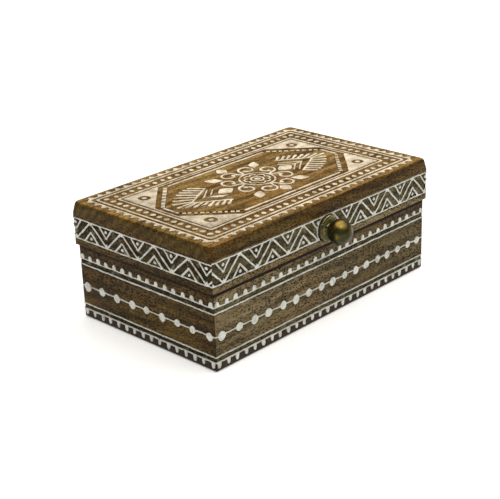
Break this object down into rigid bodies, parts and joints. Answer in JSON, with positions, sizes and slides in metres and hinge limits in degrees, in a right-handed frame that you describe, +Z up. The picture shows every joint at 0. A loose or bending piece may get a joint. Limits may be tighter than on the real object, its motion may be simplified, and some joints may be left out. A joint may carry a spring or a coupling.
{
  "type": "inlaid wooden box",
  "caption": "Rectangular mitred wooden box with carved recesses filled by white inlay, a flat rounded lid on two butt hinges and a brass ball knob.",
  "frame": {"origin": "centre of the underside of the base, which is the face it stands on", "axes": "+X along the long front, +Y from the knob side to the hinge side, +Z up"},
  "size_m": [0.2032, 0.1418, 0.0791],
  "materials": {
    "top_wood": "oiled",
    "side_wood": "oiled",
    "top_inlay": "matt filler",
    "side_inlay": "matt filler",
    "hinge_brass": "satin",
    "knob_brass": "antiqued",
    "steel": "zinc plated"
  },
  "bodies": {
    "base": {"base_front_panel": "side_wood", "base_right_panel": "side_wood", "base_back_panel": "side_wood", "base_left_panel": "side_wood", "base_bottom_board": "side_wood", "front_upper_course": "side_inlay", "right_upper_course": "side_inlay", "back_upper_course": "side_inlay", "left_upper_course": "side_inlay", "front_bead_course": "side_inlay", "right_bead_course": "side_inlay", "back_bead_course": "side_inlay", "left_bead_course": "side_inlay", "front_lower_course": "side_inlay", "right_lower_course": "side_inlay", "back_lower_course": "side_inlay", "left_lower_course": "side_inlay", "left_hinge_base_leaf": "hinge_brass", "right_hinge_base_leaf": "hinge_brass", "left_hinge_pin": "hinge_brass", "right_hinge_pin": "hinge_brass", "hinge_base_screws": "hinge_brass"},
    "lid": {"lid_top_board": "top_wood", "lid_front_rail": "side_wood", "lid_right_rail": "side_wood", "lid_back_rail": "side_wood", "lid_left_rail": "side_wood", "front_fret": "side_inlay", "right_fret": "side_inlay", "back_fret": "side_inlay", "left_fret": "side_inlay", "top_toothed_border": "top_inlay", "top_border_lines": "top_inlay", "top_dot_row": "top_inlay", "top_corner_triangles": "top_inlay", "top_corner_eyes": "top_inlay", "top_field_lines": "top_inlay", "top_field_dashes": "top_inlay", "top_scrolls": "top_inlay", "top_rosette_flower": "top_inlay", "top_rosette_centre": "top_inlay", "top_petals": "top_inlay", "top_left_palmette": "top_inlay", "top_right_palmette": "top_inlay", "top_chevrons": "top_inlay", "left_hinge_lid_leaf": "hinge_brass", "right_hinge_lid_leaf": "hinge_brass", "hinge_lid_screws": "hinge_brass", "knob": "knob_brass", "knob_rose": "knob_brass", "knob_screw": "steel", "knob_washer": "steel"}
  },
  "joints": [
    {"name": "lid_hinge", "type": "hinge", "parent": "base", "child": "lid", "pos_m": [0, 0.0603, 0.0501], "axis": [-1, 0, 0], "range_deg": [0, 105]}
  ]
}
